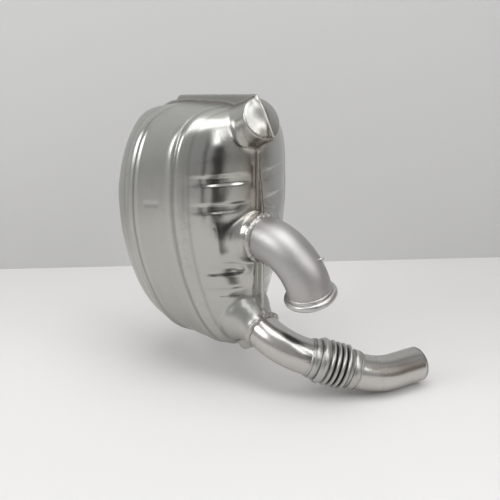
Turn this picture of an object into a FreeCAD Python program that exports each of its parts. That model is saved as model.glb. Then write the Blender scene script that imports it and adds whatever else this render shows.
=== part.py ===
import FreeCAD, Part
import math
import os
from FreeCAD import Placement, Rotation, Vector

os.makedirs("parts", exist_ok=True)

# Twin-shell exhaust muffler. While it is being built, X points out through the necks,
# the seam plane is Y = 0 with the left shell on -Y, Z is up, and the centre of the
# inlet neck's rim is zero. At the end all is moved so that the inlet mouth is zero.

# Sheet and fits
sheet = 1.5                 # wall of shells, tubes and baffles
fit = 0.2                   # gap between a tube and the collar, ring or hole it sits in
thin_wall = 0.8             # wall of bellows and liner

# Body: sections across X, each one a rounded half outline from belly to crown
body_near = -13.0           # end wall behind the necks
body_length = 232.0
body_depth = 108.0          # from the seam plane to the broad face
crown_z = 165.8             # highest line of the body at mid length
belly_z = -174.7            # lowest line
widest_z = 31.5             # height at which the body is deepest
crown_rise = 9.8            # how much the crown climbs from mid length to the near end
belly_drop = 0.5            # how much the belly sinks over the same half
widest_rise = 31.9          # how much the widest line climbs over the same half
end_bluntness = 3.7         # 2 gives a round end, higher a flatter one
height_power = 0.22         # how fast the height closes at the ends
depth_power = 0.82          # how fast the depth closes there
crown_fullness = 0.76       # 0.552 is an ellipse, higher is squarer
fullness_rise = 0.09        # how much squarer the crown is at the near end
belly_fullness = 0.47

# Raised bands round the body: centre, half width, height
near_baffle_x = -68.0
far_baffle_x = -146.0
band_half_width = 8.5
band_height = 3.2
shoulder_half_width = 11.0
shoulder_height = 2.4

# Seam flange, web and the corners of its free edge
flange_width = 5.0
web_far_corner = (-184.0, 171.5, 14.0)      # x, z, corner radius
web_near_corner = (-12.6, 189.2, 2.0)
cap_low_corner = (17.1, 136.0, 3.0)
notch_corner = (-11.4, 113.2, 4.0)

# Snout: the round bulge above the necks, half of it in each shell
snout_radius = 29.0
snout_depth = 62.0
snout_dome = 9.0            # rise of its domed end
snout_edge_radius = 6.0
snout_flare = 7.0
snout_straight = 26.0       # from its end to where it starts to spread

# Inlet neck, elbow and ring
inlet_radius = 30.0         # outside of the elbow tube
neck_grip = 28.0            # how far tubes reach into their necks
neck_length = 24.0
neck_straight = 8.0         # collar before the neck starts to spread
inlet_flare = 22.0
elbow_lead = 5.0            # straight part before the bend
elbow_bend = 62.0           # centreline radius
elbow_tail = 9.5            # straight end that carries the ring
mouth_lean = 18.0           # the mouth looks down, leaning this far to +Y
ring_height = 12.0
ring_radius = 36.0
ring_seat = 7.0
pin_radius = 2.2
pin_length = 6.0
pin_turn = 62.0             # place along the elbow's bend
pin_clock = 32.0            # degrees from the outside of the bend towards +Y

# Outlet neck, bend, bellows and tail
outlet_radius = 25.0
outlet_x, outlet_z = -4.0, -133.0
outlet_dip = 21.0           # the neck points this far below +X
outlet_flare = 5.0
first_leg = 9.0
first_bend = 81.0
bellows_yaw, bellows_dip = 53.0, 19.0
tail_bend = 103.0
tail_yaw, tail_dip = 82.0, 1.0
tail_leg = 44.0
bellows_radius = 32.0
bellows_root = 28.0
broad_fold = 16.0           # length of the first, rounded fold
fold_pitch = 6.9
fold_count = 4
cuff_length = 13.0
collar_length = 9.0

# Inside
inlet_tube_length = 190.0
outlet_tube_length = 185.0
transfer_radius = 20.0
transfer_z = 96.0
transfer_reach = 18.0       # past each baffle
baffle_rim = 8.0
hole_radius = 4.0
holes_round = 6
hole_rings = 4
wool_thickness = 20.0

body_mid = body_near - body_length / 2
body_half = body_length / 2
X, Y, Z = Vector(1, 0, 0), Vector(0, 1, 0), Vector(0, 0, 1)


def heading(yaw, dip):
    """Direction turned from +X towards +Y by yaw and pointing dip degrees down."""
    yaw, dip = math.radians(yaw), math.radians(dip)
    return Vector(math.cos(yaw) * math.cos(dip), math.sin(yaw) * math.cos(dip), -math.sin(dip))


# Body outline

bands = [(near_baffle_x + band_half_width, band_half_width, band_height),
         (near_baffle_x - shoulder_half_width, shoulder_half_width, shoulder_height),
         (far_baffle_x + band_half_width, band_half_width, shoulder_height),
         (far_baffle_x - shoulder_half_width, shoulder_half_width, band_height)]


def band_rise(x):
    rise = 0.0
    for centre, half_width, height in bands:
        if abs(x - centre) < half_width:
            rise += height * (1 + math.cos(math.pi * (x - centre) / half_width)) / 2
    return rise


def half_curves(x, grow, side=-1):
    """Belly-to-widest and widest-to-crown curves of the body at x, grown outwards, on one side."""
    s = (x - body_mid) / (body_half + grow)
    g = max(1 - abs(s) ** end_bluntness, 0.0)
    widest = widest_z + widest_rise * s
    rise = grow + band_rise(x)
    up = (crown_z + crown_rise * s - widest) * g ** height_power + rise
    down = (widest - belly_z + belly_drop * s) * g ** height_power + rise
    deep = (body_depth * g ** depth_power + rise) * side
    belly, crown, broad = Vector(x, 0, widest - down), Vector(x, 0, widest + up), Vector(x, deep, widest)
    low, high = Part.BezierCurve(), Part.BezierCurve()
    low.setPoles([belly, belly + Y * deep * belly_fullness, broad - Z * down * belly_fullness, broad])
    full = crown_fullness + fullness_rise * s
    high.setPoles([broad, broad + Z * up * full, crown + Y * deep * full, crown])
    return [low.toShape(), high.toShape()]


def stations(grow):
    """X of every section: close together at the ends, and on each band's flanks."""
    xs = [body_mid + (body_half + grow) * 0.985 * math.sin(math.radians(a)) for a in range(-90, 91, 15)]
    for centre, half_width, height in bands:
        xs = [x for x in xs if abs(x - centre) > half_width + 1]
    for centre, half_width, height in bands:
        xs += [centre + half_width * k for k in (-1, -0.6, -0.25, 0.25, 0.6)]
    xs.append(near_baffle_x + 2 * band_half_width)
    xs.append(far_baffle_x + 2 * band_half_width)
    return sorted(xs)


def half_body(grow):
    """Solid half of the body, reaching a little past the seam plane, where it is cut later."""
    sections, past = [], Vector(0, 4, 0)
    for x in stations(grow):
        low, high = half_curves(x, grow)
        belly, crown = low.Vertexes[0].Point, high.Vertexes[1].Point
        corners = [crown, crown + past, belly + past, belly]
        sections.append(Part.Wire([low, high] + [Part.makeLine(a, b) for a, b in zip(corners, corners[1:])]))
    return Part.makeLoft(sections, True, True)


# Seam flange: one plate that follows the body, one with the web and the neck side

def body_plate():
    reach = body_half + flange_width
    top, bottom = [], []
    for i in range(25):
        s = math.sin(math.radians(-90 + 7.5 * i))
        g = max(1 - abs(s) ** end_bluntness, 0.0) ** height_power
        widest = widest_z + widest_rise * s
        x = body_mid + reach * s
        top.append(Vector(x, 0, widest + (crown_z + crown_rise * s - widest) * g + flange_width))
        bottom.append(Vector(x, 0, widest - (widest - belly_z + belly_drop * s) * g - flange_width))
    edges = []
    for points in (top, bottom):
        curve = Part.BSplineCurve()
        curve.interpolate(points)
        edges.append(curve.toShape())
    edges.append(Part.makeLine(top[0], bottom[0]))
    edges.append(Part.makeLine(top[-1], bottom[-1]))
    return Part.Face(Part.Wire(Part.__sortEdges__(edges)))


def rounded_outline(corners):
    """Closed wire in the seam plane with an arc at each corner that has a radius."""
    edges, count = [], len(corners)
    starts, ends = [], []
    for i, (x, z, r) in enumerate(corners):
        here = Vector(x, 0, z)
        before = Vector(corners[i - 1][0], 0, corners[i - 1][1]) - here
        after = Vector(corners[(i + 1) % count][0], 0, corners[(i + 1) % count][1]) - here
        before.normalize()
        after.normalize()
        half = before.getAngle(after) / 2
        cut = r / math.tan(half)
        a, b = here + before * cut, here + after * cut
        middle = (before + after)
        if r > 0:
            middle.normalize()
            edges.append(Part.Arc(a, here + middle * (r / math.sin(half) - r), b).toShape())
        starts.append(a)
        ends.append(b)
    for i in range(count):
        edges.append(Part.makeLine(ends[i - 1], starts[i]))
    return Part.Wire(Part.__sortEdges__(edges))


outlet_way = heading(0, outlet_dip)
outlet_rim = Vector(outlet_x, 0, outlet_z)
rim_side = Vector(math.sin(math.radians(outlet_dip)), 0, math.cos(math.radians(outlet_dip)))
inlet_collar = inlet_radius + fit + sheet
outlet_collar = outlet_radius + fit + sheet
rim_top = outlet_rim + rim_side * (outlet_collar + 1)
rim_low = outlet_rim - rim_side * (outlet_collar + flange_width)


def neck_plate():
    corners = [(web_far_corner[0], 120.0, 0), web_far_corner, web_near_corner, cap_low_corner,
               notch_corner, (0, inlet_collar + 6, 8.0), (0, rim_top.z + 5, 4.0),
               (rim_top.x, rim_top.z, 1.0), (rim_low.x, rim_low.z, 8.0),
               (body_near - 35, belly_z - flange_width, 12.0), (body_near - 60, -100.0, 0)]
    return Part.Face(rounded_outline(corners))


# Round features that both shells share: snout and necks

cap_a = Vector(web_near_corner[0], 0, web_near_corner[1])
cap_b = Vector(cap_low_corner[0], 0, cap_low_corner[1])
cap_middle = (cap_a + cap_b) * 0.5
cap_line = cap_b - cap_a
snout_way = Vector(-cap_line.z, 0, cap_line.x)
snout_way.normalize()


def snout(shrink):
    """Domed round end, grown or shrunk all over, with a cone that spreads into the body."""
    r = snout_radius - shrink
    ball = (snout_radius ** 2 + snout_dome ** 2) / (2 * snout_dome)
    base = cap_middle - snout_way * snout_depth
    barrel = Part.makeCylinder(r, snout_depth, base, snout_way)
    dome = Part.makeSphere(ball - shrink, cap_middle - snout_way * ball)
    end = barrel.common(dome)
    rim = [e for e in end.Edges if isinstance(e.Curve, Part.Circle)
           and (e.CenterOfMass - base).dot(snout_way) > snout_depth / 2]
    end = end.makeFillet(snout_edge_radius - shrink, rim)
    cone = Part.makeCone(r + snout_flare, r, snout_depth - snout_straight, base, snout_way)
    return end.fuse(cone)


def neck(rim, way, radius, flare, shrink, past):
    """Collar behind a rim, with a cone that spreads into the end wall."""
    r = radius - shrink
    barrel = Part.makeCylinder(r, neck_length + neck_grip + past, rim - way * (neck_length + neck_grip), way)
    cone = Part.makeCone(r + flare, r, neck_length, rim - way * (neck_length + neck_straight), way)
    return barrel.fuse(cone)


def seam_plate(face):
    """Both shells' flange thickness, centred on the seam plane."""
    plate = face.extrude(Vector(0, 2 * sheet, 0))
    plate.translate(Vector(0, -sheet, 0))
    return plate


def half_shell():
    keep = Part.makeBox(600, 300, 600, Vector(-450, -300, -300))
    outer = half_body(0)
    for solid in (snout(0), neck(Vector(0, 0, 0), X, inlet_collar, inlet_flare, 0, 0),
                  neck(outlet_rim, outlet_way, outlet_collar, outlet_flare, 0, 0),
                  seam_plate(body_plate()),
                  seam_plate(neck_plate())):
        outer = outer.fuse(solid)
    inner = half_body(-sheet)
    for solid in (snout(sheet), neck(Vector(0, 0, 0), X, inlet_collar, inlet_flare, sheet, 5),
                  neck(outlet_rim, outlet_way, outlet_collar, outlet_flare, sheet, 5)):
        inner = inner.fuse(solid)
    return outer.cut(inner).common(keep)


# Tubes

def ring_face(at, way, outside, inside):
    outer = Part.Face(Part.Wire(Part.makeCircle(outside, at, way)))
    return outer.cut(Part.Face(Part.Wire(Part.makeCircle(inside, at, way))))


def side_of_bend(way, new_way):
    side = new_way - way * way.dot(new_way)
    side.normalize()
    return side


def bend_end(at, way, new_way, radius):
    turn = way.getAngle(new_way)
    side = side_of_bend(way, new_way)
    return at + way * (radius * math.sin(turn)) + side * (radius * (1 - math.cos(turn)))


def bent_tube(at, way, lead, new_way, radius, tail, outside, inside):
    """Tube with a straight lead that ends at a point, one bend, and a straight tail."""
    shape = ring_face(at - way * lead, way, outside, inside).extrude(way * lead)
    centre = at + side_of_bend(way, new_way) * radius
    turn = math.degrees(way.getAngle(new_way))
    bend = ring_face(at, way, outside, inside).revolve(centre, way.cross(new_way), turn)
    end = bend_end(at, way, new_way, radius)
    straight = ring_face(end, new_way, outside, inside).extrude(new_way * tail)
    return shape.fuse([bend, straight]).removeSplitter()


def turned(profile, at, way):
    """Solid turned from a closed profile of (radius, height) points or edges about its axis."""
    wire = profile if isinstance(profile, Part.Wire) else Part.makePolygon(
        [Vector(r, 0, h) for r, h in profile + profile[:1]])
    shape = Part.Face(wire).revolve(Vector(0, 0, 0), Z, 360)
    shape.Placement = Placement(at, Rotation(Z, way))
    return shape


def weld_bead(at, way, tube_radius, width, height):
    """Bead on a tube, seated against the face at `at`, rounded on its free side."""
    rounding = [math.radians(a) for a in (0, 35, 65, 90)]
    profile = [(tube_radius + height * math.cos(a), width * math.sin(a)) for a in rounding]
    return turned([(tube_radius, 0)] + profile, at, way)


def sleeve(at, way, length, outside, inside):
    return ring_face(at, way, outside, inside).extrude(way * length)


parts = {}

# Shells
left = half_shell()
parts["left_shell"] = left
parts["right_shell"] = left.mirror(Vector(0, 0, 0), Y)

# Inlet: elbow, its ring, welds and pin
mouth_way = Vector(0, math.sin(math.radians(mouth_lean)), -math.cos(math.radians(mouth_lean)))
inlet_bore = inlet_radius - sheet
elbow_start = X * elbow_lead
elbow_end = bend_end(elbow_start, X, mouth_way, elbow_bend)
ring_start = elbow_end + mouth_way * (elbow_tail - ring_seat)
mouth = ring_start + mouth_way * ring_height
parts["inlet_elbow"] = bent_tube(elbow_start, X, neck_grip + elbow_lead, mouth_way, elbow_bend,
                                 elbow_tail, inlet_radius, inlet_bore)
parts["inlet_neck_weld"] = weld_bead(Vector(0, 0, 0), X, inlet_radius, 4.6, 4.4)


def clamp_ring():
    """Ring with a seat for the elbow's end and a rolled lip that a clamp grips."""
    seat, lip = inlet_radius + fit, 2.6
    edge = ring_height - 0.5
    edges = [Part.makeLine(Vector(inlet_bore, 0, ring_seat), Vector(seat, 0, ring_seat)),
             Part.makeLine(Vector(seat, 0, ring_seat), Vector(seat, 0, 0)),
             Part.makeLine(Vector(seat, 0, 0), Vector(seat + sheet, 0, 0)),
             Part.Arc(Vector(seat + sheet, 0, 0), Vector(seat + sheet + 0.8, 0, 3.0),
                      Vector(ring_radius - lip, 0, 5.2)).toShape(),
             Part.Arc(Vector(ring_radius - lip, 0, 5.2), Vector(ring_radius, 0, 5.2 + lip * 1.2),
                      Vector(ring_radius - 0.9, 0, edge - 1.2)).toShape(),
             Part.makeLine(Vector(ring_radius - 0.9, 0, edge - 1.2), Vector(ring_radius - 2.4, 0, ring_height)),
             Part.makeLine(Vector(ring_radius - 2.4, 0, ring_height), Vector(inlet_bore, 0, ring_height)),
             Part.makeLine(Vector(inlet_bore, 0, ring_height), Vector(inlet_bore, 0, ring_seat))]
    return turned(Part.Wire(edges), ring_start, mouth_way)


parts["inlet_ring"] = clamp_ring()
parts["ring_weld"] = weld_bead(ring_start, -mouth_way, inlet_radius, 2.2, fit + sheet)

pin_angle = math.radians(pin_turn)
pin_inside = side_of_bend(X, mouth_way)
pin_centre = elbow_start + X * (elbow_bend * math.sin(pin_angle)) \
    + pin_inside * (elbow_bend * (1 - math.cos(pin_angle)))
pin_along = X * math.cos(pin_angle) + pin_inside * math.sin(pin_angle)
pin_out = X * math.sin(pin_angle) - pin_inside * math.cos(pin_angle)
pin_way = Rotation(pin_along, -pin_clock).multVec(pin_out)
pin = Part.makeCylinder(pin_radius, pin_length + sheet, pin_centre + pin_way * (inlet_radius - sheet), pin_way)
pin = pin.makeFillet(0.6, [e for e in pin.Edges if isinstance(e.Curve, Part.Circle)][:1])
parts["locating_pin"] = pin.cut(parts["inlet_elbow"])

# Outlet: bend, bellows and tail
bellows_way = heading(bellows_yaw, bellows_dip)
tail_way = heading(tail_yaw, tail_dip)
outlet_bore = outlet_radius - sheet
bend_start = outlet_rim + outlet_way * first_leg
bellows_start = bend_end(bend_start, outlet_way, bellows_way, first_bend)
cuff_radius = outlet_radius + fit + thin_wall
folds_start = cuff_length
folds_end = folds_start + broad_fold + fold_pitch * fold_count
bellows_length = folds_end + cuff_length
tail_start = bellows_start + bellows_way * bellows_length
parts["outlet_bend"] = bent_tube(bend_start, outlet_way, neck_grip + first_leg, bellows_way, first_bend,
                                 cuff_length - 3, outlet_radius, outlet_bore)
parts["outlet_neck_weld"] = weld_bead(outlet_rim, outlet_way, outlet_radius, 4.6, 4.2)


def bellows():
    """Thin sleeve: cuff, one broad rounded fold, sharp folds, cuff."""
    inside = outlet_radius + fit
    outer = [(cuff_radius, 0), (cuff_radius, folds_start)]
    h = folds_start
    outer += [(bellows_radius - 1.6, h + broad_fold * 0.25), (bellows_radius, h + broad_fold * 0.45),
              (bellows_radius - 0.6, h + broad_fold * 0.72), (bellows_root, h + broad_fold)]
    h += broad_fold
    for i in range(fold_count):
        outer += [(bellows_radius - 0.4, h + fold_pitch * 0.30), (bellows_radius - 0.4, h + fold_pitch * 0.66)]
        h += fold_pitch
        outer.append((bellows_root if i < fold_count - 1 else cuff_radius, h))
    outer.append((cuff_radius, bellows_length))
    inner = [(max(r - thin_wall * 1.2, inside), z) for r, z in outer]
    inner[0], inner[-1] = (inside, 0), (inside, bellows_length)
    return turned(outer + inner[::-1], bellows_start, bellows_way)


parts["bellows"] = bellows()
parts["bellows_front_collar"] = sleeve(bellows_start + bellows_way * 1.5, bellows_way, collar_length,
                                       cuff_radius + fit + sheet, cuff_radius + fit)
parts["bellows_rear_collar"] = sleeve(tail_start - bellows_way * (collar_length + 1.5), bellows_way,
                                      collar_length, cuff_radius + fit + sheet, cuff_radius + fit)
parts["front_cuff_weld"] = weld_bead(bellows_start, -bellows_way, outlet_radius, 2.4, 1.6)
parts["rear_cuff_weld"] = weld_bead(tail_start, bellows_way, outlet_radius, 2.4, 1.6)
liner_out = outlet_bore - fit
parts["bellows_liner"] = sleeve(bellows_start + bellows_way * 1.0, bellows_way, bellows_length - 2.0,
                                liner_out, liner_out - thin_wall)
parts["tail_tube"] = bent_tube(tail_start, bellows_way, cuff_length - 3, tail_way, tail_bend, tail_leg,
                               outlet_radius, outlet_bore)

# Inside: two flanged baffles gripped between the raised bands, three tubes, and wool


def cross_section(x, grow):
    edges = half_curves(x, grow, -1) + half_curves(x, grow, 1)
    return Part.Face(Part.Wire(Part.__sortEdges__(edges)))


inlet_tube_radius = inlet_bore - fit
outlet_tube_radius = outlet_bore - fit


def baffle(x, toward):
    """Plate with a rim turned towards the middle of the body, and a hole for each tube."""
    grow = -(sheet + fit)
    shape = cross_section(x, grow).extrude(X * (baffle_rim * toward))
    pocket = cross_section(x, grow - sheet).extrude(X * (baffle_rim * toward))
    pocket.translate(X * (sheet * toward))
    shape = shape.cut(pocket)
    far = Vector(x - 30, 0, 0)
    outlet_back = outlet_rim - outlet_way * (neck_grip + outlet_tube_length)
    for tool in (Part.makeCylinder(inlet_tube_radius + fit, 60, far, X),
                 Part.makeCylinder(transfer_radius + fit, 60, far + Z * transfer_z, X),
                 Part.makeCylinder(outlet_tube_radius + fit, 300, outlet_back, outlet_way)):
        shape = shape.cut(tool)
    return shape


parts["front_baffle"] = baffle(near_baffle_x, -1)
parts["rear_baffle"] = baffle(far_baffle_x, 1)


def perforated(at, way, length, radius):
    """Tube with rings of round holes in its far half."""
    tube = sleeve(at, way, length, radius, radius - sheet)
    across = Vector(0, 1, 0)
    for ring in range(hole_rings):
        spot = at + way * (length * (0.56 + 0.09 * ring))
        for k in range(holes_round):
            out = Rotation(way, 360.0 * (k + 0.5 * (ring % 2)) / holes_round).multVec(across)
            tube = tube.cut(Part.makeCylinder(hole_radius, radius + 5, spot, out))
    return tube


inlet_tube_start = -(neck_grip - 10)
parts["inlet_tube"] = perforated(X * inlet_tube_start, -X, inlet_tube_length, inlet_tube_radius)
parts["outlet_tube"] = perforated(outlet_rim - outlet_way * (neck_grip - 10), -outlet_way,
                                  outlet_tube_length, outlet_tube_radius)
transfer_start = near_baffle_x + transfer_reach
parts["transfer_tube"] = sleeve(Vector(transfer_start, 0, transfer_z), -X,
                                transfer_start - far_baffle_x + transfer_reach,
                                transfer_radius, transfer_radius - sheet)
wool_start = near_baffle_x - baffle_rim - 1.5
parts["absorbing_wool"] = sleeve(Vector(wool_start, 0, 0), -X, wool_start - (far_baffle_x + baffle_rim + 1.5),
                                 inlet_tube_radius + wool_thickness, inlet_tube_radius + fit)

for name, shape in parts.items():
    shape = shape.copy()
    shape.translate(-mouth)
    solids = shape.Solids
    if len(solids) != 1 or not shape.isValid():
        print("check", name, len(solids), shape.isValid())
    shape = solids[0] if len(solids) == 1 else shape
    shape.exportStep("parts/" + name + ".step")
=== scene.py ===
import math
import bmesh
import bpy
from mathutils import Matrix, Vector, noise


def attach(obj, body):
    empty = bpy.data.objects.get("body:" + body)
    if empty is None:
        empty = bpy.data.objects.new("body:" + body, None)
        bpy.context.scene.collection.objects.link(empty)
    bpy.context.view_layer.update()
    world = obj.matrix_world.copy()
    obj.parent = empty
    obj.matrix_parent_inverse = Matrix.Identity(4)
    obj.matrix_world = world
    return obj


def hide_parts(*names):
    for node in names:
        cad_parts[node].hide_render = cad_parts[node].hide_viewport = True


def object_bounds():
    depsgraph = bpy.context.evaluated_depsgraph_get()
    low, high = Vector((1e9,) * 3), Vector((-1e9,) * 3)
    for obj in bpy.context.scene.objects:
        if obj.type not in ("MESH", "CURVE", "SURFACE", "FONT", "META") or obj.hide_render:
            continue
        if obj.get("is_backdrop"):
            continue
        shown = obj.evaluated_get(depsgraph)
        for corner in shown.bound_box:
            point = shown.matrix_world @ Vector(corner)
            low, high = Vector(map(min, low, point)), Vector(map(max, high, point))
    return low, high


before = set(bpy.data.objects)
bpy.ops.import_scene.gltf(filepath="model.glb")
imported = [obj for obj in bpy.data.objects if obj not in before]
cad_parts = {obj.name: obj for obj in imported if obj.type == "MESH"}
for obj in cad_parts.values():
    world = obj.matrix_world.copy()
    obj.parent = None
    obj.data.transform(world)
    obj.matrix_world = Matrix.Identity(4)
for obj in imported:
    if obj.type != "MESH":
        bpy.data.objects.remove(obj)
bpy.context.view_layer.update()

# Shell body: two deep halves pressed from 1.5 mm stainless sheet, widest a little above the
# middle, with two pairs of raised bands round them where the baffles are gripped inside.
# Sizes are in mm from the inlet neck's rim, and `placed` moves them to the frame's origin.
mm = 0.001
sheet_wall = 0.0015
inlet_lean = math.radians(18)
mouth_out, mouth_drop = 67.0, 76.5
mouth_at = Vector((mouth_out, mouth_drop * math.sin(inlet_lean), -mouth_drop * math.cos(inlet_lean)))
to_frame = Matrix.Scale(mm, 4) @ Matrix.Translation(-mouth_at)
body_mid, body_half, body_deep = -129.0, 116.0, 106.7
widest_z, widest_climb = 31.5, 31.9
crown_z, crown_climb = 165.8, 9.8
belly_drop, belly_spread = 174.7, 0.5
end_power, height_power, depth_power = 3.7, 0.22, 0.82
# each crease: place along X, then width and height of the band's front and rear shoulder
baffle_creases = [(-68.0, 17.0, 3.2, 24.0, 2.6), (-146.0, 10.0, 2.2, 24.0, 3.2)]


def placed(point):
    return (Vector(point) - mouth_at) * mm


def smooth(low, high, value):
    t = min(max((value - low) / (high - low), 0.0), 1.0)
    return t * t * (3 - 2 * t)


def body_section(s):
    """Widest height, rise to the crown, drop to the belly and depth at one station along X."""
    close = max(1 - abs(s) ** end_power, 0.0)
    widest = widest_z + widest_climb * s
    return (widest, (crown_z + crown_climb * s - widest) * close ** height_power,
            (widest + belly_drop + belly_spread * s) * close ** height_power,
            body_deep * close ** depth_power)


def band_relief(x, z):
    """Raised shoulders either side of each baffle, with a sharp crease that fades at the crown."""
    rise = 0.0
    for crease, front_width, front_height, rear_width, rear_height in baffle_creases:
        width, height = (front_width, front_height) if x > crease else (rear_width, rear_height)
        away = abs(x - crease)
        rise += height * smooth(-1.5, 5.0, away) * (1 - smooth(5.0, width, away))
    return rise * (1 - 0.65 * smooth(120, 160, z))


def curve_point(t, a, b, c, d):
    return a * (1 - t) ** 3 + 3 * b * t * (1 - t) ** 2 + 3 * c * t * t * (1 - t) + d * t ** 3


def shape_body(bm):
    """A sphere whose rings are drawn out to the body's sections, each of four Bezier quarters."""
    made = bmesh.ops.create_uvsphere(bm, u_segments=180, v_segments=150, radius=1.0)["verts"]
    bmesh.ops.rotate(bm, verts=made, cent=(0, 0, 0), matrix=Matrix.Rotation(math.pi / 2, 3, "Y"))
    belly_full = 0.47
    for v in made:
        s = min(max(v.co.x, -0.9999), 0.9999)
        x = body_mid + body_half * s
        widest, up, down, deep = body_section(s)
        turn = math.atan2(abs(v.co.y), -v.co.z) / (math.pi / 2)
        deep = math.copysign(deep, v.co.y)
        if turn < 1:
            y = curve_point(turn, 0, deep * belly_full, deep, deep)
            z = widest - curve_point(turn, down, down, down * belly_full, 0)
        else:
            crown_full = 0.76 + 0.09 * s
            y = curve_point(turn - 1, deep, deep, deep * crown_full, 0)
            z = widest + curve_point(turn - 1, 0, up * crown_full, up, up)
        v.co = (x, y, z)


def turned(bm, profile, at, way, steps=96):
    """Spin a profile of (radius, height) about an axis; a radius of 0 closes a pole."""
    tilt = Vector((0, 0, 1)).rotation_difference(way).to_matrix().to_4x4()
    verts = [bm.verts.new((r, 0, h)) for r, h in profile]
    edges = [bm.edges.new(pair) for pair in zip(verts, verts[1:])]
    if profile[0][0] > 0:
        edges.append(bm.edges.new((verts[-1], verts[0])))
    before = set(bm.verts) - set(verts)
    bmesh.ops.spin(bm, geom=verts + edges, cent=(0, 0, 0), axis=(0, 0, 1), dvec=(0, 0, 0),
                   angle=2 * math.pi, steps=steps, use_merge=True)
    made = [v for v in bm.verts if v not in before]
    bmesh.ops.remove_doubles(bm, verts=made, dist=0.002)
    made = [v for v in bm.verts if v not in before]
    bmesh.ops.transform(bm, matrix=Matrix.Translation(at) @ tilt, verts=made)


# Snout and necks: the round bulge above, and the two collars that grip the pipes, are pressed
# in halves with the body, so each runs into the end wall on a soft radius.
web_corner, cap_corner = Vector((-12.6, 0, 189.2)), Vector((17.1, 0, 136.0))
cap_middle = (web_corner + cap_corner) / 2
cap_run = cap_corner - web_corner
snout_way = Vector((-cap_run.z, 0, cap_run.x)).normalized()
inlet_rim, inlet_way = Vector((0, 0, 0)), Vector((1, 0, 0))
outlet_dip = math.radians(21)
outlet_rim = Vector((-4.0, 0, -133.0))
outlet_way = Vector((math.cos(outlet_dip), 0, -math.sin(outlet_dip)))


def shape_snout(bm):
    """A shallow dome that turns over a rolled edge into a barrel, and flares into the body."""
    barrel, dome_round = 29.0, 51.2
    dome = [(barrel * math.sin(a),
             -dome_round * (1 - math.cos(math.asin(barrel * math.sin(a) / dome_round))))
            for a in (0, 0.15, 0.3, 0.45, 0.6, 0.75, 0.9, 1.05)]
    turned(bm, dome + [(26.8, -6.6), (28.6, -7.4), (29.2, -9.4), (29.0, -12), (28.6, -16),
                       (29.0, -27), (36.0, -62), (0, -62)], cap_middle, snout_way)


def shape_necks(bm):
    turned(bm, [(0, 0), (31.7, 0), (31.7, -9), (33, -13), (36, -17), (42, -22), (52, -27.5),
                (60, -31), (60, -50), (0, -50)], inlet_rim, inlet_way)
    turned(bm, [(0, 0), (26.7, 0), (26.7, -6), (29, -13), (34.5, -23), (40, -32), (40, -45),
                (0, -45)], outlet_rim, outlet_way)


# Seam flange: the flat rims of both shells, laid together and resistance welded. It widens to
# a web beside the snout, and closes the wall between the necks.
flange_width = 5
flange_blank = 3.0
rim_side = Vector((math.sin(outlet_dip), 0, math.cos(outlet_dip)))
neck_top, neck_low = outlet_rim + rim_side * 27.7, outlet_rim - rim_side * 31.7
# corners of the web as (x, z, radius)
flange_corners = [(-184, 120, 0), (-184, 171.5, 14), (-12.6, 189.2, 2), (17.1, 136, 3),
                  (-11.4, 113.2, 4), (0, 37.7, 8), (0, neck_top.z + 5, 4),
                  (neck_top.x, neck_top.z, 1), (neck_low.x, neck_low.z, 8),
                  (-48, -180, 12), (-73, -100, 0)]


def verts_in(geom):
    return [g for g in geom if isinstance(g, bmesh.types.BMVert)]


def edges_in(geom):
    return [g for g in geom if isinstance(g, bmesh.types.BMEdge)]


def shape_flange(bm, half_thick):
    rim = bmesh.ops.create_circle(bm, cap_ends=True, segments=160, radius=1.0,
                                  matrix=Matrix.Rotation(math.pi / 2, 4, "X"))["verts"]
    for v in rim:
        s = min(max(v.co.x, -1.0), 1.0)
        widest, up, down, _ = body_section(s)
        up, down = up + flange_width, down + flange_width
        v.co = (body_mid + (body_half + flange_width) * s, 0,
                widest + (up if v.co.z >= 0 else -down))
    web = [bm.verts.new((x, 0, z)) for x, z, _ in flange_corners]
    bm.faces.new(web)
    cuts = []
    for i, (_, _, radius) in enumerate(flange_corners):
        before = (web[i - 1].co - web[i].co).normalized()
        after = (web[(i + 1) % len(web)].co - web[i].co).normalized()
        cuts.append(radius / math.tan(before.angle(after) / 2))
    for corner, cut in zip(web, cuts):
        if cut > 0:
            bmesh.ops.bevel(bm, geom=[corner], offset=cut, offset_type="OFFSET", affect="VERTICES",
                            segments=6, profile=0.5, material=-1)
    for face in [f for f in bm.faces if len(f.verts) > 20]:
        bmesh.ops.translate(bm, vec=(0, half_thick, 0), verts=face.verts)
        grown = bmesh.ops.extrude_face_region(bm, geom=[face], use_keep_orig=True)["geom"]
        bmesh.ops.translate(bm, vec=(0, -2 * half_thick, 0), verts=verts_in(grown))


def pressed_blank():
    """Body, snout, necks and flange in one skin, with the corners between them rounded off."""
    bm = bmesh.new()
    shape_body(bm)
    shape_snout(bm)
    shape_necks(bm)
    shape_flange(bm, flange_blank)
    bmesh.ops.recalc_face_normals(bm, faces=bm.faces)
    rough = bpy.data.meshes.new("blank")
    bm.to_mesh(rough)
    bm.free()
    holder = bpy.data.objects.new("blank", rough)
    bpy.context.scene.collection.objects.link(holder)
    remesh = holder.modifiers.new("skin", "REMESH")
    remesh.mode, remesh.voxel_size = "VOXEL", 2.0
    seen = holder.evaluated_get(bpy.context.evaluated_depsgraph_get())
    skin = bpy.data.meshes.new_from_object(seen)
    bpy.data.objects.remove(holder)
    return skin


def outside_outline(x, z):
    """How far a point of the seam plane lies outside the body's own outline, roughly."""
    s = (x - body_mid) / body_half
    if abs(s) >= 1:
        return abs(x - body_mid) - body_half + 2
    widest, up, down, _ = body_section(s)
    return (z - widest - up) if z > widest else (widest - down - z)


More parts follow.
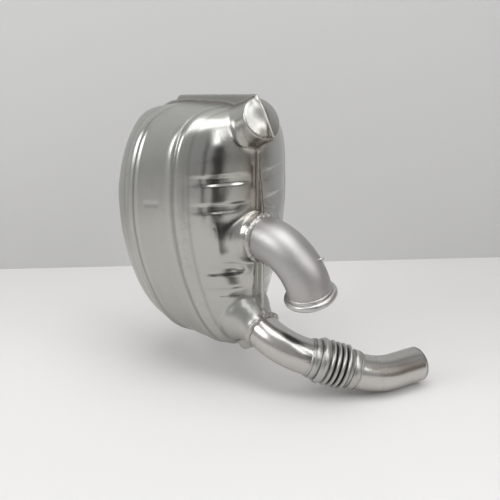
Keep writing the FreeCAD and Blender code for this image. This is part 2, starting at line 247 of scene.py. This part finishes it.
# Pressed detail: grooves across both end walls as (height, depth, half width of the floor, half
# width in all), then faint marks on the broad side as (x, z, half length, half height), and two
# places where the sheet bulges as (middle, reach, lift).
wall_grooves = ((81, 1.5, 4.0, 7.8), (44, 1.5, 4.0, 7.8), (-44, 1.7, 2.5, 9.5), (-77, 1.7, 2.5, 9.5))
side_marks = ((-107, 44, 15, 3.0), (-104, -40, 8, 14), (-126, -40, 8, 14))
mark_depth, mark_slope = 0.5, 0.18
sheet_bulges = (((-192, -45, 148), 26, 4.0), ((-202, -95, 45), 45, 2.6))
ridge_height = 1.8


def press_grooves(x, y, z):
    """Depth of the grooves and marks at one point; the grooves are level with each other."""
    deep = sum(depth * (1 - smooth(floor, wide, abs(z - height)))
               for height, depth, floor, wide in wall_grooves)
    uneven = 1 + 0.3 * noise.noise(Vector((x, y * 0.6, z)) * 0.05)
    deep *= (1 - smooth(45, 96, abs(y))) * uneven
    near = smooth(-57, -46, x) * smooth(42, 54, math.hypot(y, z))
    near *= smooth(30, 38, (Vector((x, y, z)) - outlet_rim).cross(outlet_way).length)
    far = smooth(-200, -216, x)
    marks = 0.0
    for mark_x, mark_z, long, high in side_marks:
        off_z = abs(z - mark_z - mark_slope * (x - mark_x))
        marks += (mark_depth * (1 - smooth(long - 2, long + 2, abs(x - mark_x)))
                  * (1 - smooth(high - 2, high + 2, off_z)))
    return deep * max(near, far) * smooth(8, 30, abs(y)) + marks * smooth(60, 80, abs(y))


def soften(bm, verts, rounds):
    for _ in range(rounds):
        bmesh.ops.smooth_vert(bm, verts=verts, factor=0.5,
                              use_axis_x=True, use_axis_y=True, use_axis_z=True)


def smooth_mesh(bm, name):
    mesh = bpy.data.meshes.new(name)
    bm.to_mesh(mesh)
    bm.free()
    mesh.polygons.foreach_set("use_smooth", [True] * len(mesh.polygons))
    return mesh


def finished_shell():
    """Left half of the blank: corners softened, necks opened, bands and grooves pressed in."""
    bm = bmesh.new()
    bm.from_mesh(pressed_blank())
    soften(bm, bm.verts, 1)
    plain = [v for v in bm.verts
             if not (abs(v.co.y) < 4 and outside_outline(v.co.x, v.co.z) > 2.2)]
    roots = [v for v in plain if abs(v.co.y) < 10 and outside_outline(v.co.x, v.co.z) > -9]
    joins = [v for v in plain if abs((v.co - cap_middle).dot(snout_way) + 34) < 24
             and (v.co - cap_middle).cross(snout_way).length < 48 and v.co.z > 95]
    joins += [v for v in plain if -34 < v.co.x < -7.5 and 31 < math.hypot(v.co.y, v.co.z) < 68]
    joins += [v for v in plain if -40 < (v.co - outlet_rim).dot(outlet_way) < -7
              and (v.co - outlet_rim).cross(outlet_way).length < 44]
    for group, rounds in ((plain, 3), (roots, 5), (joins, 12)):
        soften(bm, group, rounds)
    bmesh.ops.bisect_plane(bm, geom=bm.verts[:] + bm.edges[:] + bm.faces[:], plane_co=(0, 0, 0),
                           plane_no=(0, 1, 0), clear_outer=True)
    for rim, way, radius in ((inlet_rim, inlet_way, 33.5), (outlet_rim, outlet_way, 28.5)):
        near = [f for f in bm.faces if (f.calc_center_median() - rim).cross(way).length < radius
                and -3 < (f.calc_center_median() - rim).dot(way) < 3]
        geom = (near + list({e for f in near for e in f.edges})
                + list({v for f in near for v in f.verts}))
        bmesh.ops.bisect_plane(bm, geom=geom, plane_co=rim - way * 0.9, plane_no=way,
                               clear_outer=True)
    bm.normal_update()
    for v in bm.verts:
        x, y, z = v.co
        on_band = smooth(2, 7, abs(y)) * (1 if outside_outline(x, z) < 4 else 0)
        v.co += v.normal * (band_relief(x, z) * on_band - press_grooves(x, y, z))
        for middle, reach, lift in sheet_bulges:
            away = (v.co - Vector(middle)).length
            v.co += v.normal * on_band * lift * math.exp(-(away / reach) ** 2)
        waves = 0.5 * noise.noise(v.co * 0.022) + 0.16 * noise.noise(v.co * 0.06)
        v.co += v.normal * on_band * waves
        from_cap = v.co - cap_middle
        if from_cap.cross(snout_way).length < 31 and from_cap.dot(snout_way) > -48:
            seam_ridge = ridge_height * (1 - smooth(1.8, 4.2, abs(y))) * (1 - smooth(168, 183, z))
            v.co += v.normal * seam_ridge
        # the flange is thinned from the blank to the sheet, evenly up to the body's root
        y = -v.co.y
        v.co.y = -(y * 0.5 if y < 3 else 1.5 + (y - 3) * 1.3 if y < 8 else y)
    bmesh.ops.transform(bm, matrix=to_frame, verts=bm.verts)
    return smooth_mesh(bm, "shell")


def piece(name, mesh, node, wall=0.0):
    """Put a finished mesh in place of its CAD node; a wall makes a skin into sheet."""
    thing = bpy.data.objects.new(name, mesh)
    bpy.context.scene.collection.objects.link(thing)
    if wall:
        sheet = thing.modifiers.new("sheet", "SOLIDIFY")
        sheet.thickness, sheet.offset = wall, -1
    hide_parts(node)
    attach(thing, "root")
    return thing


class Shade:
    """A node socket that can be used in sums."""

    def __init__(self, tree, socket=None):
        self.tree, self.socket = tree, socket

    def node(self, kind, settings=None, inputs=None, out=0):
        made = self.tree.nodes.new(kind)
        for key, value in (settings or {}).items():
            setattr(made, key, value)
        for key, value in (inputs or {}).items():
            if isinstance(value, Shade):
                self.tree.links.new(value.socket, made.inputs[key])
            else:
                made.inputs[key].default_value = value
        return Shade(self.tree, made.outputs[out])

    def output(self, name):
        """Another output of the node that this socket belongs to."""
        return Shade(self.tree, self.socket.node.outputs[name])

    def maths(self, operation, *others):
        return self.node("ShaderNodeMath", {"operation": operation},
                         dict(enumerate((self, *others))))

    def vectors(self, operation, *others, out=0):
        return self.node("ShaderNodeVectorMath", {"operation": operation},
                         dict(enumerate((self, *others))), out)

    def mottle(self, scale, detail, roughness):
        return self.node("ShaderNodeTexNoise", None, {"Vector": self, "Scale": scale,
                                                      "Detail": detail, "Roughness": roughness})

    def fade(self, low, high, start, end):
        """Goes softly from start to end while this value goes from low to high."""
        return self.node("ShaderNodeMapRange", {"interpolation_type": "SMOOTHSTEP"},
                         {"Value": self, "From Min": low, "From Max": high,
                          "To Min": start, "To Max": end})

    def mix(self, under, over):
        """A colour laid over another, with this value as its share."""
        under = under if isinstance(under, Shade) else (*under, 1)
        return self.node("ShaderNodeMix", {"data_type": "RGBA"},
                         {"Factor": self, "A": under, "B": (*over, 1)}, out=2)

    def bumps(self, distance):
        return self.node("ShaderNodeBump", None,
                         {"Strength": 1.0, "Distance": distance, "Height": self})

    def __add__(self, other): return self.maths("ADD", other)
    def __mul__(self, other): return self.maths("MULTIPLY", other)
    def __sub__(self, other): return self.maths("SUBTRACT", other)
    def __rsub__(self, other): return self.node("ShaderNodeMath", {"operation": "SUBTRACT"},
                                                {0: other, 1: self})
    __radd__, __rmul__ = __add__, __mul__


# the crevice, fold gap and crease colours are painted shade; dirt and heat tint are the steel's own
dirt_brown, crevice_shade_brown = (0.16, 0.13, 0.10), (0.12, 0.095, 0.08)
fold_gap_shade, crease_grey, heat_brown = (0.05, 0.045, 0.04), (0.10, 0.10, 0.085), (0.25, 0.205, 0.175)
# thin shadows round the shell, in mm: place along X, half width and strength
crease_lines = ((-68.0, 3.0, 0.34), (-146.0, 3.0, 0.34), (-51.5, 2.6, 0.2), (-169.0, 2.6, 0.2))
# where the end wall's polish ends: middle of the round part, its radius, and what stays inside
polish_ends = ((placed(inlet_rim - inlet_way * 12), 0.034, 0.4),
               (placed(outlet_rim - outlet_way * 12), 0.046, 0.15),
               (placed(cap_middle), 0.034, 0.5))


def steel(name, light, dark, rough, rough_spread, grain, bump, stain=0.0, cloud=9.0, polish=0.0,
          gaps=None, seam=0.0):
    """Stainless steel: slow clouds of tone, fine grain in gloss and height, and faint dirt.

    Gaps paint shade into the bellows folds as (start, axis, low, high, from, to); seam is how
    dark the painted shade in the crevice beside the flange gets, and polish is how much smoother the
    end wall is.
    """
    material = bpy.data.materials.new(name)
    material.use_nodes = True
    tree = material.node_tree
    shader = tree.nodes["Principled BSDF"]
    shader.inputs["Metallic"].default_value = 1.0
    place = Shade(tree).node("ShaderNodeTexCoord", out="Object")
    clouds = place.mottle(cloud, 4.0, 0.55)
    specks = place.mottle(grain, 2.0, 0.6)
    dirt = place.mottle(38.0, 5.0, 0.7).fade(0.58, 0.72, 0.0, stain)
    tone = dirt.mix(clouds.mix(dark, light), dirt_brown)
    # painted shade: the gaps between the bellows folds are darkened in the colour
    if gaps:
        at, way, low, high, start, end = gaps
        away = place.vectors("SUBTRACT", at)
        along = away.vectors("DOT_PRODUCT", way, out=1)
        within = (along - (start + end) / 2).maths("ABSOLUTE").maths("LESS_THAN", (end - start) / 2)
        off_axis = away.vectors("CROSS_PRODUCT", way).vectors("LENGTH", out=1)
        tone = (off_axis.fade(low, high, 0.9, 0.0) * within).mix(tone, fold_gap_shade)
    place_x = place.node("ShaderNodeSeparateXYZ", None, {"Vector": place})
    place_y, place_z = place_x.output("Y"), place_x.output("Z")
    end_wall = place_x.fade(-0.140, -0.105, 0.0, 1.0) * place_z.fade(0.200, 0.235, 1.0, 0.0)
    if seam:
        off_seam = (place_y + mouth_at.y * mm).maths("ABSOLUTE")
        # painted shade: the crevice beside the flange root is darkened in the colour
        crevice = off_seam.fade(0.0030, 0.0075, seam, 0.0) * off_seam.maths("GREATER_THAN", 0.0017)
        tone = crevice.mix(tone, crevice_shade_brown)
        # painted shade along the creases of the bands, kept off the flange
        for line, half, strength in crease_lines:
            off_line = (place_x - (line - mouth_at.x) * mm).maths("ABSOLUTE")
            crease_shade = off_line.fade(0.0003, half * mm, strength, 0.0)
            tone = (crease_shade * off_seam.maths("GREATER_THAN", 0.006)).mix(tone, crease_grey)
        heat = off_seam.fade(0.004, 0.050, seam * 0.8, 0.0) * place_z.fade(0.06, 0.11, 0.0, 1.0)
        tone = (heat * end_wall).mix(tone, heat_brown)
    for middle, radius, left in polish_ends:
        end_wall = end_wall * place.vectors("DISTANCE", middle, out=1).fade(
            radius, radius * 1.4, left, 1.0)
    gloss = (rough - end_wall * polish + (clouds - 0.5) * rough_spread
             + (specks - 0.5) * rough_spread + dirt * 0.3)
    tree.links.new(tone.socket, shader.inputs["Base Color"])
    tree.links.new(gloss.socket, shader.inputs["Roughness"])
    tree.links.new(specks.bumps(bump).socket, shader.inputs["Normal"])
    return material


# Half shells: the left one is cut from the blank and the right one is its mirrored twin. Both
# are bare stainless sheet, dull on the broad sides and bright on the end wall.
# the shell colour carries painted shade in the crevice beside the flange and along the band creases
shell_steel = steel("shell_steel", light=(0.50, 0.50, 0.475), dark=(0.43, 0.43, 0.405), rough=0.35,
                    rough_spread=0.10, grain=900.0, bump=0.00005, stain=0.12, polish=0.20, seam=0.6)
left_mesh = finished_shell()
left_shell = piece("pressed_left_shell", left_mesh, "left_shell", sheet_wall)
mirrored = bmesh.new()
mirrored.from_mesh(left_mesh)
over_seam = (Matrix.Translation((0, -0.002 * mouth_at.y, 0))
             @ Matrix.Scale(-1, 4, (0, 1, 0)))
bmesh.ops.transform(mirrored, matrix=over_seam, verts=mirrored.verts)
bmesh.ops.reverse_faces(mirrored, faces=mirrored.faces)
right_shell = piece("pressed_right_shell", smooth_mesh(mirrored, "shell_mirrored"),
                    "right_shell", sheet_wall)
for shell in (left_shell, right_shell):
    shell.data.materials.append(shell_steel)

# Inlet elbow: a mandrel-bent 60 mm tube, bead blasted to an even silver, gripped in the upper
# neck and turned down to the mouth.
mouth_way = Vector((0, math.sin(inlet_lean), -math.cos(inlet_lean)))
elbow_outside, elbow_bend = 30.0, 62.0
elbow_start = Vector((5.0, 0, 0))


def bent_pipe(name, at, way, lead, new_way, radius, tail, outside, steps):
    """Skin of a tube: a straight lead that ends at a point, a bend, and a straight tail."""
    bm = bmesh.new()
    tilt = Vector((0, 0, 1)).rotation_difference(way).to_matrix().to_4x4()
    ring = bmesh.ops.create_circle(bm, cap_ends=False, segments=96, radius=outside,
                                   matrix=Matrix.Translation(at - way * lead) @ tilt)["verts"]
    loop = list({e for v in ring for e in v.link_edges})

    def drawn(loop, vec, parts):
        for _ in range(parts):
            made = bmesh.ops.extrude_edge_only(bm, edges=loop)["geom"]
            bmesh.ops.translate(bm, vec=vec / parts, verts=verts_in(made))
            loop = edges_in(made)
        return loop

    loop = drawn(loop, way * lead, 6)
    side = (new_way - way * way.dot(new_way)).normalized()
    verts = list({v for e in loop for v in e.verts})
    spun = bmesh.ops.spin(bm, geom=verts + loop, cent=at + side * radius,
                          axis=way.cross(new_way).normalized(), dvec=(0, 0, 0),
                          angle=way.angle(new_way), steps=steps, use_merge=False)
    drawn(edges_in(spun["geom_last"]), new_way * tail, 8)
    bmesh.ops.remove_doubles(bm, verts=bm.verts, dist=0.002)
    bmesh.ops.recalc_face_normals(bm, faces=bm.faces)
    outermost = max(bm.faces, key=lambda f: f.calc_center_median().x)
    if outermost.normal.x < 0:
        bmesh.ops.reverse_faces(bm, faces=bm.faces)
    bmesh.ops.transform(bm, matrix=to_frame, verts=bm.verts)
    return smooth_mesh(bm, name)


elbow_mesh = bent_pipe("elbow", elbow_start, inlet_way, lead=33.0, new_way=mouth_way,
                       radius=elbow_bend, tail=9.5, outside=elbow_outside, steps=48)
elbow = piece("blasted_elbow", elbow_mesh, "inlet_elbow", sheet_wall)
elbow.data.materials.append(steel("elbow_steel", light=(0.50, 0.49, 0.482),
                                  dark=(0.42, 0.412, 0.402), rough=0.46, rough_spread=0.08,
                                  grain=1100.0, bump=0.00016, stain=0.08))

# Clamp ring: a turned ring on the elbow's end with a rolled lip that a clamp grips; a thin
# weld closes its upper edge.
ring_lead = 2.5
ring_start = Vector((elbow_start.x + elbow_bend, 0, 0)) + mouth_way * (elbow_bend + ring_lead)


def turned_piece(name, profile, at, way, node, material, steps=128, lumps=0.0):
    """A turned part of one profile; lumps makes the free surface of a hand-laid bead uneven."""
    bm = bmesh.new()
    turned(bm, profile, at, way, steps)
    if lumps:
        for v in bm.verts:
            out = v.co - at - way * (v.co - at).dot(way)
            free = smooth(0.15, 1.6, out.length - profile[0][0])
            free *= 0.8 + 0.9 * max(out.normalized().z, 0) ** 4
            v.co += (out.normalized() + way * 0.6) * free * lumps * noise.noise(v.co * 0.2)
            fine = noise.noise(v.co * 0.9 + Vector((7, 3, 1)))
            v.co += out.normalized() * free * lumps * 0.5 * fine
    bmesh.ops.recalc_face_normals(bm, faces=bm.faces)
    bmesh.ops.transform(bm, matrix=to_frame, verts=bm.verts)
    mesh = smooth_mesh(bm, name)
    mesh.set_sharp_from_angle(angle=math.radians(50))
    made = piece(name, mesh, node)
    made.data.materials.append(material)


ring_steel = steel("ring_steel", light=(0.58, 0.58, 0.56), dark=(0.50, 0.49, 0.48), rough=0.30,
                   rough_spread=0.10, grain=700.0, bump=0.00005, stain=0.15)
lip = [(32.4 + 3.6 * math.sin(a) ** 0.8, 6.9 - 4.4 * math.cos(a))
       for a in (0.15, 0.4, 0.7, 1.0, 1.3, 1.57, 1.85, 2.15, 2.5, 2.8)]
turned_piece("rolled_ring", [(28.5, 7.0), (30.2, 7.0), (30.2, 0.0), (31.4, 0.0), (31.5, 1.0),
                             (31.6, 2.0)] + lip + [(33.0, 11.8), (32.2, 12.0), (29.2, 12.0),
                                                   (28.5, 11.4)],
             ring_start, mouth_way, "inlet_ring", ring_steel)
weld_metal = steel("weld_metal", light=(0.58, 0.57, 0.55), dark=(0.38, 0.365, 0.35), rough=0.36,
                   rough_spread=0.2, grain=600.0, bump=0.0003, stain=0.3, cloud=90.0)
thin_bead = [(30.0, 0.0), (31.7, 0.0), (31.65, 0.7), (31.3, 1.4), (30.7, 1.95), (30.0, 2.2)]
turned_piece("ring_bead", thin_bead, ring_start, -mouth_way, "ring_weld", weld_metal)

# Locating pin: a short turned stud, welded beside the mouth on the outside of the bend. It
# keys the clamp, so that the joint goes together one way only.
pin_angle, pin_clock = math.radians(62), math.radians(32)
pin_along = Vector((math.cos(pin_angle), 0, 0)) + mouth_way * math.sin(pin_angle)
pin_out = Vector((math.sin(pin_angle), 0, 0)) - mouth_way * math.cos(pin_angle)
pin_way = Matrix.Rotation(-pin_clock, 3, pin_along) @ pin_out
pin_foot = (elbow_start + Vector((elbow_bend * math.sin(pin_angle), 0, 0))
            + mouth_way * (elbow_bend * (1 - math.cos(pin_angle))))
turned_piece("stud", [(0, 29.0), (2.2, 29.0), (2.2, 34.6), (2.05, 35.4), (1.6, 36.0), (0, 36.0)],
             pin_foot, pin_way, "locating_pin", ring_steel, steps=32)

# Neck welds: hand-laid beads between each neck's rim and its pipe, lumpy and heat-dulled, and
# heaviest on top where the two shells and the pipe meet.
outlet_outside = 25.0
bead_lumps = 1.3
bead = [(0.0, 0.0), (4.3, 0.0), (4.5, 0.6), (4.2, 1.7), (3.4, 3.0), (2.2, 4.0), (1.0, 4.5),
        (0.0, 4.6)]
turned_piece("upper_bead", [(elbow_outside + r, h) for r, h in bead], inlet_rim, inlet_way,
             "inlet_neck_weld", weld_metal, steps=240, lumps=bead_lumps)
turned_piece("lower_bead", [(outlet_outside + r * 0.95, h) for r, h in bead], outlet_rim,
             outlet_way, "outlet_neck_weld", weld_metal, steps=200,
             lumps=bead_lumps)

# Outlet bend: polished 50 mm tube, gripped in the lower neck and bent down and round to the
# bellows in one sweep.
outlet_bend_radius = 81.0


def heading(yaw, dip):
    yaw, dip = math.radians(yaw), math.radians(dip)
    return Vector((math.cos(yaw) * math.cos(dip), math.sin(yaw) * math.cos(dip), -math.sin(dip)))


def bend_end(at, way, new_way, radius):
    side = (new_way - way * way.dot(new_way)).normalized()
    return at + way * radius * math.sin(way.angle(new_way)) + side * radius * (1 - way.dot(new_way))


bellows_way, tail_way = heading(53, 19), heading(82, 1)
bend_start = outlet_rim + outlet_way * 9.0
cuff_start = bend_end(bend_start, outlet_way, bellows_way, outlet_bend_radius)
pipe_steel = steel("pipe_steel", light=(0.60, 0.59, 0.57), dark=(0.48, 0.465, 0.44), rough=0.25,
                   rough_spread=0.10, grain=420.0, bump=0.00004, stain=0.1, cloud=16.0)
bend_mesh = bent_pipe("bend", bend_start, outlet_way, lead=37.0, new_way=bellows_way,
                      radius=outlet_bend_radius, tail=10.0, outside=outlet_outside, steps=40)
lower_bend = piece("polished_bend", bend_mesh, "outlet_bend", sheet_wall)
lower_bend.data.materials.append(pipe_steel)

# Bellows: thin sleeve with one broad fold and four sharp ones, gripped by a collar at each
# end, so the engine can shake without cracking the pipe.
sleeve, sleeve_inside, sleeve_wall, sleeve_long = 26.0, 25.2, 0.9, 69.6
broad_from, broad_long, broad_steps = 10.7, 12.1, 12
fold_from, fold_pitch, fold_steps = 22.8, 7.8, 8
# the bellows colour carries painted shade in the gaps between its folds
bellows_steel = steel("bellows_steel", light=(0.52, 0.52, 0.50), dark=(0.43, 0.43, 0.41),
                      rough=0.35, rough_spread=0.12, grain=500.0, bump=0.00003, stain=0.08,
                      gaps=(placed(cuff_start), bellows_way, 0.0272, 0.0306, 0.0226, 0.0540))
folds = [(sleeve, 0.0), (sleeve, 10.6)]
for k in range(broad_steps):
    swell = math.sin(math.pi * (0.10 + 0.9 * k / broad_steps)) ** 0.6
    folds.append((28.0 + 4.0 * swell, broad_from + broad_long * k / broad_steps))
folds.append((28.0, broad_from + broad_long))
for fold in range(4):
    folds += [(26.6 + 5.2 * math.sin(math.pi * k / fold_steps) ** 0.95,
               fold_from + fold_pitch * (fold + k / fold_steps)) for k in range(1, fold_steps + 1)]
folds = folds[:-1] + [(27.2, 54.0), (sleeve, 58.6), (sleeve, sleeve_long)]
inner_skin = [(max(r - sleeve_wall, sleeve_inside), h) for r, h in folds]
inner_skin[0], inner_skin[-1] = (sleeve_inside, 0.0), (sleeve_inside, sleeve_long)
turned_piece("folded_sleeve", folds + inner_skin[::-1], cuff_start, bellows_way, "bellows",
             bellows_steel)
collar = [(26.2, 0.0), (27.3, 0.0), (27.7, 0.4), (27.7, 8.6), (27.3, 9.0), (26.2, 9.0)]
tail_start = cuff_start + bellows_way * sleeve_long
turned_piece("near_collar", collar, cuff_start + bellows_way * 1.5, bellows_way,
             "bellows_front_collar", bellows_steel)
turned_piece("far_collar", collar, tail_start - bellows_way * 10.5, bellows_way,
             "bellows_rear_collar", bellows_steel)
cuff_bead = [(25.0, 0.0), (26.6, 0.0), (26.5, 0.8), (26.1, 1.6), (25.5, 2.2), (25.0, 2.4)]
turned_piece("near_cuff_bead", cuff_bead, cuff_start, -bellows_way, "front_cuff_weld",
             weld_metal)
turned_piece("far_cuff_bead", cuff_bead, tail_start, bellows_way, "rear_cuff_weld",
             weld_metal)

# Tail: polished 50 mm tube that curves on from the bellows, is welded to its rear cuff and
# ends in a plain open mouth.
tail_mesh = bent_pipe("tail", tail_start, bellows_way, lead=10.0, new_way=tail_way, radius=103.0,
                      tail=44.0, outside=outlet_outside, steps=32)
tail = piece("curved_tail", tail_mesh, "tail_tube", sheet_wall)
tail.data.materials.append(pipe_steel)

# Inside: baffles, tubes and the liner keep their CAD shape in plain dull sheet, and the pale
# fibre of the wool is packed round the inlet tube.
inner_steel = steel("inner_steel", light=(0.42, 0.40, 0.37), dark=(0.30, 0.28, 0.25), rough=0.45,
                    rough_spread=0.15, grain=300.0, bump=0.00008, stain=0.4)
wool = bpy.data.materials.new("wool")
wool.use_nodes = True
fibre_shader = wool.node_tree.nodes["Principled BSDF"]
fibre_shader.inputs["Roughness"].default_value = 0.95
fibres = Shade(wool.node_tree).node("ShaderNodeTexCoord", out="Object").mottle(260.0, 6.0, 0.7)
fibre_tone = fibres.mix((0.45, 0.38, 0.26), (0.80, 0.74, 0.58))
wool.node_tree.links.new(fibre_tone.socket, fibre_shader.inputs["Base Color"])
wool.node_tree.links.new(fibres.bumps(0.001).socket, fibre_shader.inputs["Normal"])
for node, finish in (("front_baffle", inner_steel), ("rear_baffle", inner_steel),
                     ("inlet_tube", inner_steel), ("outlet_tube", inner_steel),
                     ("transfer_tube", inner_steel), ("bellows_liner", inner_steel),
                     ("absorbing_wool", wool)):
    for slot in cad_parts[node].material_slots:
        slot.material = finish

# Bench and wall: a pale bench top against a light grey wall, both matt. The wall can be seen
# through from behind, so that the muffler shows from every side.
floor_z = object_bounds()[0].z - 0.0005
sheet_half = 3.0


def stage_sheet(name, size, matrix, colour, one_sided=False):
    bm = bmesh.new()
    bmesh.ops.create_grid(bm, x_segments=1, y_segments=1, size=size, matrix=matrix)
    mesh = bpy.data.meshes.new(name)
    bm.to_mesh(mesh)
    bm.free()
    thing = bpy.data.objects.new(name, mesh)
    bpy.context.scene.collection.objects.link(thing)
    material = bpy.data.materials.new(name)
    material.use_nodes = True
    shader = material.node_tree.nodes["Principled BSDF"]
    shader.inputs["Base Color"].default_value = (*colour, 1)
    shader.inputs["Roughness"].default_value = 0.9
    if one_sided:
        inside = Shade(material.node_tree, shader.outputs[0])
        clear = inside.node("ShaderNodeBsdfTransparent")
        behind = inside.node("ShaderNodeNewGeometry", out="Backfacing")
        either = inside.node("ShaderNodeMixShader", None, {0: behind, 1: inside, 2: clear})
        surface = material.node_tree.nodes["Material Output"].inputs["Surface"]
        material.node_tree.links.new(either.socket, surface)
    mesh.materials.append(material)
    thing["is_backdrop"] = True
    return thing


bench_back = [Vector((-0.787, -0.066, floor_z)), Vector((-0.166, 0.735, floor_z))]
along = (bench_back[1] - bench_back[0]).normalized()
toward = Vector((along.y, -along.x, 0))
turn = Matrix((along, toward, Vector((0, 0, 1)))).transposed().to_4x4()
stage_sheet("bench", sheet_half, Matrix.Translation(bench_back[0] + toward * 3) @ turn,
            (0.74, 0.73, 0.72))
stage_sheet("wall", sheet_half, Matrix.Translation(bench_back[0] + Vector((0, 0, 2.9)))
            @ turn @ Matrix.Rotation(math.pi / 2, 4, "X"), (0.56, 0.56, 0.556), one_sided=True)

# Reflections: dull dark cards and strips that only the polished end wall shows, as a room with
# dark places in it would. Cards are (bearing, distance, width, low, high, tone) and strips on
# the bench (bearing, start, end, width, tone).
room_middle = -0.1


def only_reflected(sheet):
    sheet.visible_camera = sheet.visible_diffuse = sheet.visible_shadow = False


def toward_bearing(bearing):
    return Vector((math.cos(math.radians(bearing)), math.sin(math.radians(bearing)), 0))


for name, bearing, away, width, low, high, tone in (
        ("room_dark_a", -17, 0.75, 0.17, -0.147, 0.27, (0.03, 0.025, 0.02)),
        ("room_dark_b", 29, 0.8, 0.50, -0.147, 0.50, (0.17, 0.13, 0.11)),
        ("room_dark_c", -34, 0.8, 0.06, -0.147, 1.5, (0.03, 0.035, 0.05))):
    side = toward_bearing(bearing)
    only_reflected(stage_sheet(
        name, 0.5, Matrix.Translation(side * away + Vector((room_middle, 0, (low + high) / 2)))
        @ side.to_track_quat("Z", "Y").to_matrix().to_4x4()
        @ Matrix.Diagonal((width, high - low, 1, 1)), tone))
for name, bearing, start, end, width, tone in (
        ("floor_dark_a", -19, 0.28, 0.75, 0.07, (0.08, 0.07, 0.06)),
        ("floor_dark_b", 27, 0.50, 0.80, 0.32, (0.24, 0.19, 0.16))):
    only_reflected(stage_sheet(
        name, 0.5, Matrix.Translation((room_middle, 0, floor_z + 0.001))
        @ Matrix.Rotation(math.radians(bearing), 4, "Z")
        @ Matrix.Translation(((start + end) / 2, 0, 0))
        @ Matrix.Diagonal((end - start, width, 1, 1)), tone))


# Light: soft area lamps above and at the window, a weak one from the side, and two tall panes
# whose reflections stand as bright streaks on the end wall, in an even grey room.
def lamp(name, at, aim, size, power, tall=None):
    light = bpy.data.lights.new(name, "AREA")
    light.size, light.energy = size, power
    if tall:
        light.shape, light.size_y = "RECTANGLE", tall
    thing = bpy.data.objects.new(name, light)
    bpy.context.scene.collection.objects.link(thing)
    thing.location = at
    thing.rotation_euler = (Vector(aim) - Vector(at)).to_track_quat("-Z", "Y").to_euler()


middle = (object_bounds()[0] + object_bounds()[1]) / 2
lamp("overhead", (0.1, -0.2, 1.5), middle, size=1.2, power=12.5)
lamp("window", (-0.5, -1.4, 0.9), middle, size=0.7, power=9.0)
lamp("side", (1.3, 0.5, 0.7), middle, size=0.5, power=4.0)
for name, bearing, wide in (("left_pane", -20, 0.13), ("right_pane", 2, 0.11)):
    lamp(name, toward_bearing(bearing) * 0.85 + Vector((room_middle, 0, 0.63)),
         (-0.08, -0.02, 0.1), size=wide, power=0.9, tall=0.62)
world = bpy.data.worlds.new("room")
bpy.context.scene.world = world
world.use_nodes = True
sky = world.node_tree.nodes["Background"]
sky.inputs["Color"].default_value = (0.62, 0.62, 0.62, 1)
sky.inputs["Strength"].default_value = 0.66

# Camera: the photograph's own viewpoint, fitted to the tubes and the outlines; it looks down
# at 18 degrees with a lens of 850 pixels on a picture 500 pixels wide.
camera_data = bpy.data.cameras.new("camera")
camera_data.lens, camera_data.sensor_width = 61.2, 36.0
camera = bpy.data.objects.new("camera", camera_data)
bpy.context.scene.collection.objects.link(camera)
camera.location = placed((791.96, -738.20, 334.90))
camera.rotation_euler = (math.radians(72), 0, math.radians(48))
bpy.context.scene.camera = camera
bpy.context.scene.view_settings.view_transform = "Standard"
